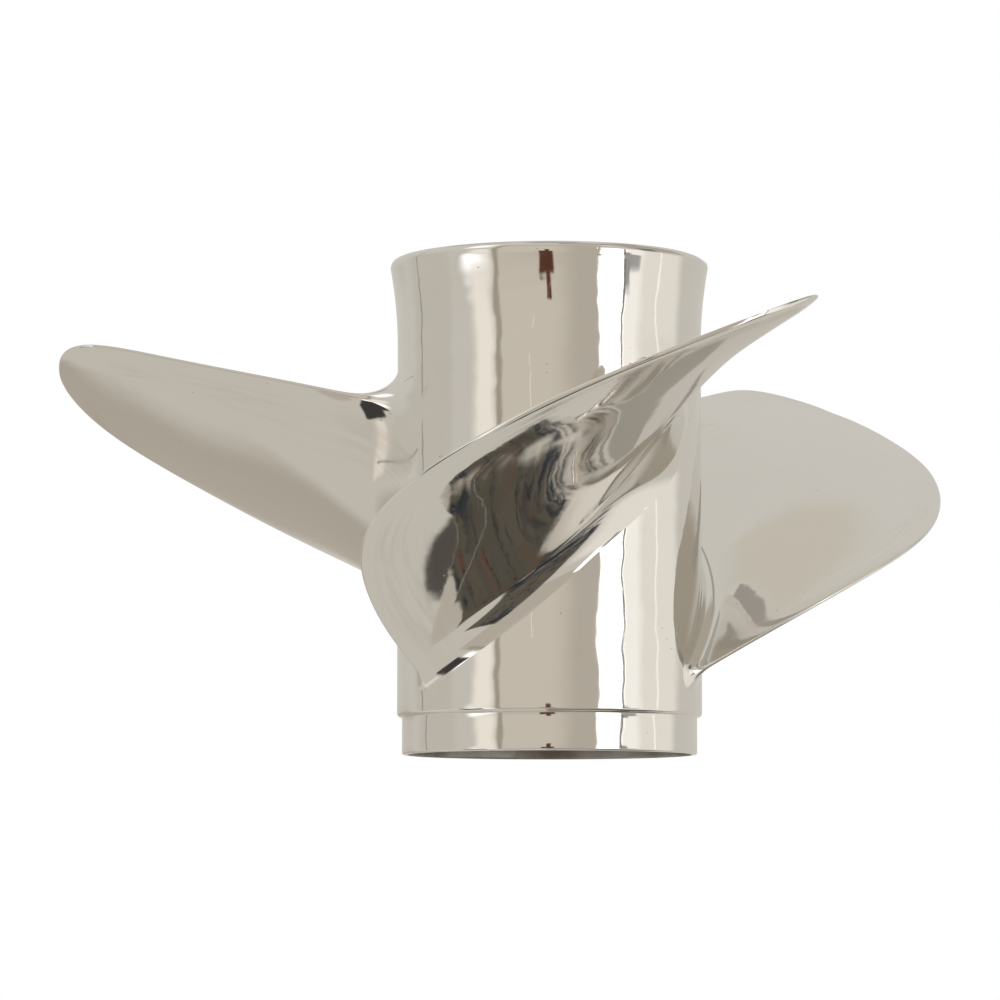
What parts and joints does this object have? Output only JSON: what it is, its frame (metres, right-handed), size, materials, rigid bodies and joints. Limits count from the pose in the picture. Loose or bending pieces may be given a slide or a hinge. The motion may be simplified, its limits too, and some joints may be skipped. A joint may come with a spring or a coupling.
{
  "type": "boat propeller",
  "caption": "Polished stainless through-hub-exhaust outboard propeller with flared aft ring, stepped front collar, slip hub and shaft hardware.",
  "frame": {"origin": "on the shaft axis, in the plane of the front rim that meets the gearcase", "axes": "+Z along the shaft from the gearcase end to the flared aft end; -Y faces blade_1 and +X is to its right, seen from in front with the aft end up"},
  "size_m": [0.3572, 0.3563, 0.1965],
  "materials": {
    "polished_stainless": "mirror polished, hand finished",
    "satin_stainless": "as cast and lightly blasted",
    "machined_stainless": "fine turned",
    "bronze": "turned bronze",
    "bush_rubber": "matt moulded",
    "insert_nylon": "moulded"
  },
  "bodies": {
    "core": {"drive_sleeve": "bronze", "rubber_bush": "bush_rubber", "thrust_hub": "machined_stainless", "rear_spacer": "machined_stainless"},
    "propeller": {"outer_barrel": "polished_stainless", "inner_hub": "satin_stainless", "blade_1": "polished_stainless", "blade_2": "polished_stainless", "blade_3": "polished_stainless", "exhaust_web_1": "satin_stainless", "exhaust_web_2": "satin_stainless", "exhaust_web_3": "satin_stainless"},
    "washer": {"plain_washer": "machined_stainless"},
    "nut": {"prop_nut": "machined_stainless", "nut_insert": "insert_nylon"}
  },
  "joints": [
    {"name": "hub_slip", "type": "hinge", "parent": "core", "child": "propeller", "pos_m": [0, 0, 0.072], "axis": [0, 0, 1], "continuous": true},
    {"name": "washer_slide", "type": "slide", "parent": "core", "child": "washer", "axis": [0, 0, 1], "range_m": [0, 0.016]},
    {"name": "nut_turn", "type": "hinge", "parent": "washer", "child": "nut", "pos_m": [0, 0, 0.151], "axis": [0, 0, 1], "range_deg": [0, 3600]}
  ],
  "couplings": [
    {"joint": "washer_slide", "follows": "nut_turn", "m_per_rad": 0.00025266}
  ]
}
